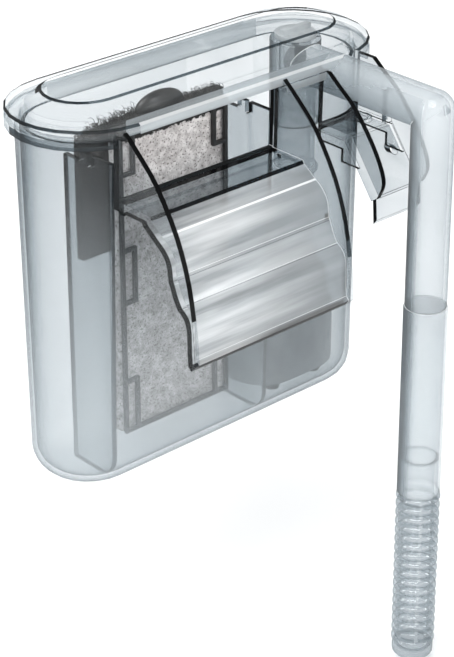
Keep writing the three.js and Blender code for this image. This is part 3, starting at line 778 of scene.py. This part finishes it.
def make_fray():
    """Curly fibres that stick up from the carbon block's top, longer at its left than at its right."""
    low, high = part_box("carbon_block")
    pull_low, pull_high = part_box("carbon_pull")
    steps = 10
    faces_each = 3 * steps + 2
    points, faces = [], []
    while len(faces) < STRAND_COUNT * faces_each:
        x = random.uniform(low.x + 1.2 * MM, high.x - 1.2 * MM)
        y = random.uniform(low.y + 1.2 * MM, high.y - 1.2 * MM)
        if pull_low.x + 2 * MM < x < pull_high.x - 2 * MM:
            continue
        reach = (5.6 if x < pull_low.x else 3.6) * min(1, 0.3 + (x - low.x) / (14 * MM))
        length = reach * random.uniform(0.25, 1.0) * MM
        lean = Vector((random.uniform(-0.9, 0.9), random.uniform(-0.4, 0.4), 1)).normalized()
        curl, turns, phase = random.uniform(0.7, 1.4) * MM, random.uniform(0.8, 2.0), random.uniform(0, 6.3)
        root = high.z - (1.4 + CARBON_SAG * math.exp(-(x - low.x) / SAG_REACH)) * MM
        path = []
        for k in range(steps + 1):
            t = k / steps
            swing = phase + 2 * math.pi * turns * t
            bend = Vector((math.cos(swing), 0.5 * math.sin(swing), 0.9 * math.sin(swing)))
            bend = bend * curl * min(1, 3 * t)
            place = Vector((x, y, root)) + lean * (length * t + 0.2 * MM) + bend
            place.y = min(max(place.y, low.y + 0.2 * MM), high.y - 0.2 * MM)
            path.append(place)
        add_fibre(points, faces, path, random.uniform(0.13, 0.24) * MM)
    fray = object_from("carbon_fray", points, faces)
    dress(fray, MATERIALS["carbon_fibre_pad"])
    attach(fray, BODY_OF["carbon_block"])


# ---- strainer -------------------------------------------------------------------------------------
def make_strainer():
    """A tube of rounded rings on a plain spigot, with windows in the valleys between the rings."""
    low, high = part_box("strainer")
    middle = (low + high) / 2
    spigot_end = high.z - 16.3 * MM
    pitch = (spigot_end - low.z) / RING_COUNT
    bore, spigot, valley, crest = 6.4 * MM, 7.9 * MM, 8.15 * MM, 9.25 * MM
    around, in_window, bar = 60, 8, 2
    rows = [(high.z, spigot, False), (spigot_end + 0.2 * MM, spigot, False)]
    steps = ((0.0, 0.0), (0.06, 0.42), (0.16, 0.75), (0.30, 0.96), (0.44, 0.96), (0.58, 0.75), (0.68, 0.42),
             (0.74, 0.0))
    for ring in range(RING_COUNT):
        for t, swell in steps:
            opens = t == steps[-1][0] and ring < RING_COUNT - 1
            rows.append((spigot_end - (ring + t) * pitch, valley + swell * (crest - valley), opens))
    rows.append((low.z, valley, False))
    points, faces = [], []
    for radius_of in (lambda r: r, lambda r: bore):
        for z, radius, _ in rows:
            for i in range(around):
                turn = 2 * math.pi * i / around
                points.append((middle.x + radius_of(radius) * math.cos(turn),
                               middle.y + radius_of(radius) * math.sin(turn), z))
    layer = len(rows) * around

    def is_open(j, i):
        """The cell below row j opens where its row says so, between the bars."""
        return 0 <= j < len(rows) - 1 and rows[j][2] and (i % around) % (in_window + bar) < in_window

    for j in range(len(rows) - 1):
        for i in range(around):
            a, b = j * around + i, j * around + (i + 1) % around
            c, d = b + around, a + around
            if not is_open(j, i):
                faces.append((d, c, b, a))
                faces.append((layer + a, layer + b, layer + c, layer + d))
                if is_open(j, i + 1):
                    faces.append((b, c, layer + c, layer + b))
                if is_open(j, i - 1):
                    faces.append((d, a, layer + a, layer + d))
                if is_open(j + 1, i):
                    faces.append((c, d, layer + d, layer + c))
                if is_open(j - 1, i):
                    faces.append((a, b, layer + b, layer + a))
    last = (len(rows) - 1) * around
    for i in range(around):
        k = (i + 1) % around
        faces.append((i, k, layer + k, layer + i))
        faces.append((last + k, last + i, layer + last + i, layer + last + k))
    piece = object_from("strainer_rings", points, faces)
    smooth_by_angle(piece, 50)
    tint_by_depth(piece.data, most=6.0)
    finish_piece(piece, "strainer", THIN_CLEAR)


def make_pieces():
    make_lid()
    make_tank()
    for node, shade in (("left_divider", 0.25), ("right_divider", 0.0)):
        piece = finished_copy(node, MATERIALS["clear_plastic"])
        for polygon, tint in zip(piece.data.polygons, piece.data.attributes["tint"].data):
            if abs(polygon.normal.x) > 0.9:
                tint.value += shade
    make_bracket()
    for node in ("intake_elbow", "lower_intake_tube"):
        shade_pipe(finished_copy(node, PIPE_CLEAR, rim=3.0))
    for node in ("strainer_cap", "down_pipe"):
        finished_copy(node, THIN_CLEAR, rim=6.0, most=3.0)
    finished_copy("flow_knob", KNOB_GREY)
    for node in ("cartridge_frame", "impeller_cover", "motor_housing", "cord_gland"):
        finished_copy(node)
    make_chute()
    make_strainer()
    make_media()
    for node, obj in NODES.items():
        if not obj.hide_render:
            dress(obj, MATERIALS[SLOT_OF[node]])


make_camera()
make_studio()
make_pieces()
